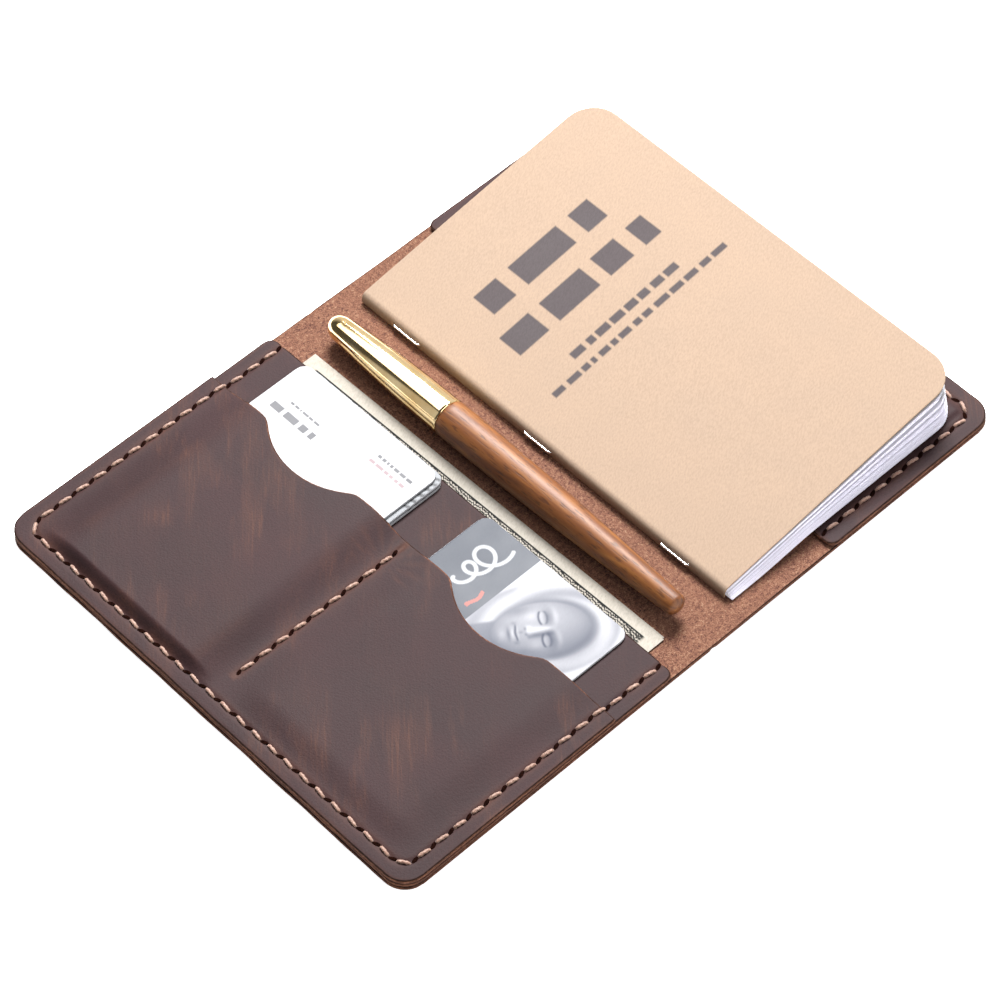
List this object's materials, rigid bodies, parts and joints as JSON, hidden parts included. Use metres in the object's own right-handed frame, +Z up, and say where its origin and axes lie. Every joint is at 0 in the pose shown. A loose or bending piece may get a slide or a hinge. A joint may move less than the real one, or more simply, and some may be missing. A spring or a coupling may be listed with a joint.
{
  "type": "business card case",
  "caption": "Folding leather case with stitched card, banknote and notebook pockets, open and loaded with cards, notes, a pen and a notebook.",
  "frame": {"origin": "centre of the open case's underside", "axes": "+X across the open case towards the notebook, +Y along the spine towards the notebook's head, +Z up"},
  "size_m": [0.215, 0.156, 0.0173],
  "materials": {
    "leather_outer": "oiled dark brown leather, satin, with lighter pull-up marks",
    "leather_suede": "reddish brown flesh side, matte",
    "thread": "waxed tan thread, matte",
    "card_white": "gloss white card",
    "card_grey": "gloss printed grey card",
    "banknote": "matte paper with fine engraving",
    "kraft": "uncoated brown card stock, matte",
    "pages": "matte white paper",
    "staple": "bright drawn wire",
    "pen_wood": "oiled and polished brown wood",
    "pen_brass": "polished brass",
    "pen_steel": "bright steel"
  },
  "bodies": {
    "back_cover": {"cover_back": "leather_suede", "notebook_sleeve": "leather_outer", "sleeve_stitches": "thread"},
    "spine": {"cover_spine": "leather_suede"},
    "front_cover": {"cover_front": "leather_suede", "bill_pocket": "leather_outer", "card_pocket": "leather_outer", "pocket_stitches": "thread", "divider_stitches": "thread"},
    "upper_card_top": {"card_top": "card_white"},
    "upper_card_middle": {"card_middle": "card_white"},
    "upper_card_bottom": {"card_bottom": "card_white"},
    "lower_card": {"card_lower": "card_grey"},
    "banknote_inner": {"banknote_back": "banknote"},
    "banknote_outer": {"banknote_front": "banknote"},
    "notebook": {"notebook_back": "kraft", "notebook_staples": "staple"},
    "leaves_first": {"notebook_leaves_1": "pages"},
    "leaves_second": {"notebook_leaves_2": "pages"},
    "leaves_third": {"notebook_leaves_3": "pages"},
    "leaves_fourth": {"notebook_leaves_4": "pages"},
    "notebook_cover": {"notebook_front": "kraft"},
    "pen": {"pen_barrel": "pen_wood", "pen_grip": "pen_brass", "pen_tip": "pen_steel"},
    "pen_cap": {"pen_cap": "pen_brass"}
  },
  "joints": [
    {"name": "case_fold", "type": "hinge", "parent": "back_cover", "child": "spine", "pos_m": [0.0098, 0, 0.0014], "axis": [0, -1, 0], "range_deg": [-90, 0]},
    {"name": "front_fold", "type": "hinge", "parent": "spine", "child": "front_cover", "pos_m": [-0.0096, 0, 0.0014], "axis": [0, -1, 0], "range_deg": [-90, 0]},
    {"name": "upper_card_top_slide", "type": "slide", "parent": "front_cover", "child": "upper_card_top", "axis": [1, 0, 0], "range_m": [0, 0.007]},
    {"name": "upper_card_middle_slide", "type": "slide", "parent": "front_cover", "child": "upper_card_middle", "axis": [1, 0, 0], "range_m": [0, 0.007]},
    {"name": "upper_card_bottom_slide", "type": "slide", "parent": "front_cover", "child": "upper_card_bottom", "axis": [1, 0, 0], "range_m": [0, 0.007]},
    {"name": "lower_card_slide", "type": "slide", "parent": "front_cover", "child": "lower_card", "axis": [1, 0, 0], "range_m": [0, 0.007]},
    {"name": "banknote_push", "type": "slide", "parent": "front_cover", "child": "banknote_inner", "axis": [1, 0, 0], "range_m": [-0.01, 0]},
    {"name": "banknote_slide", "type": "slide", "parent": "banknote_inner", "child": "banknote_outer", "axis": [1, 0, 0], "range_m": [0, 0.004]},
    {"name": "notebook_slide", "type": "slide", "parent": "back_cover", "child": "notebook", "axis": [-1, 0, 0], "range_m": [0, 0.005]},
    {"name": "leaves_first_flatten", "type": "hinge", "parent": "notebook", "child": "leaves_first", "pos_m": [0.0138, 0, 0.00186], "axis": [0, -1, 0], "range_deg": [-0.1, 0]},
    {"name": "leaves_second_flatten", "type": "hinge", "parent": "notebook", "child": "leaves_second", "pos_m": [0.0138, 0, 0.00248], "axis": [0, -1, 0], "range_deg": [-0.8, 0]},
    {"name": "leaves_third_flatten", "type": "hinge", "parent": "notebook", "child": "leaves_third", "pos_m": [0.0138, 0, 0.0031], "axis": [0, -1, 0], "range_deg": [-1.5, 0]},
    {"name": "leaves_fourth_flatten", "type": "hinge", "parent": "notebook", "child": "leaves_fourth", "pos_m": [0.0138, 0, 0.00372], "axis": [0, -1, 0], "range_deg": [-2.1, 0]},
    {"name": "notebook_open", "type": "hinge", "parent": "leaves_fourth", "child": "notebook_cover", "pos_m": [0.01305, 0, 0.00442], "axis": [0, -1, 0], "range_deg": [0, 105]},
    {"name": "pen_slide", "type": "slide", "parent": "spine", "child": "pen", "axis": [0, 1, 0], "range_m": [0, 0.04]},
    {"name": "cap_pull", "type": "slide", "parent": "pen", "child": "pen_cap", "axis": [0, 1, 0], "range_m": [0, 0.045]}
  ],
  "couplings": [
    {"joint": "front_fold", "follows": "case_fold", "ratio": 1},
    {"joint": "banknote_push", "follows": "case_fold", "m_per_rad": 0.0063656},
    {"joint": "leaves_first_flatten", "follows": "case_fold", "ratio": 0.001111},
    {"joint": "leaves_second_flatten", "follows": "case_fold", "ratio": 0.008888},
    {"joint": "leaves_third_flatten", "follows": "case_fold", "ratio": 0.016665},
    {"joint": "leaves_fourth_flatten", "follows": "case_fold", "ratio": 0.023331}
  ]
}
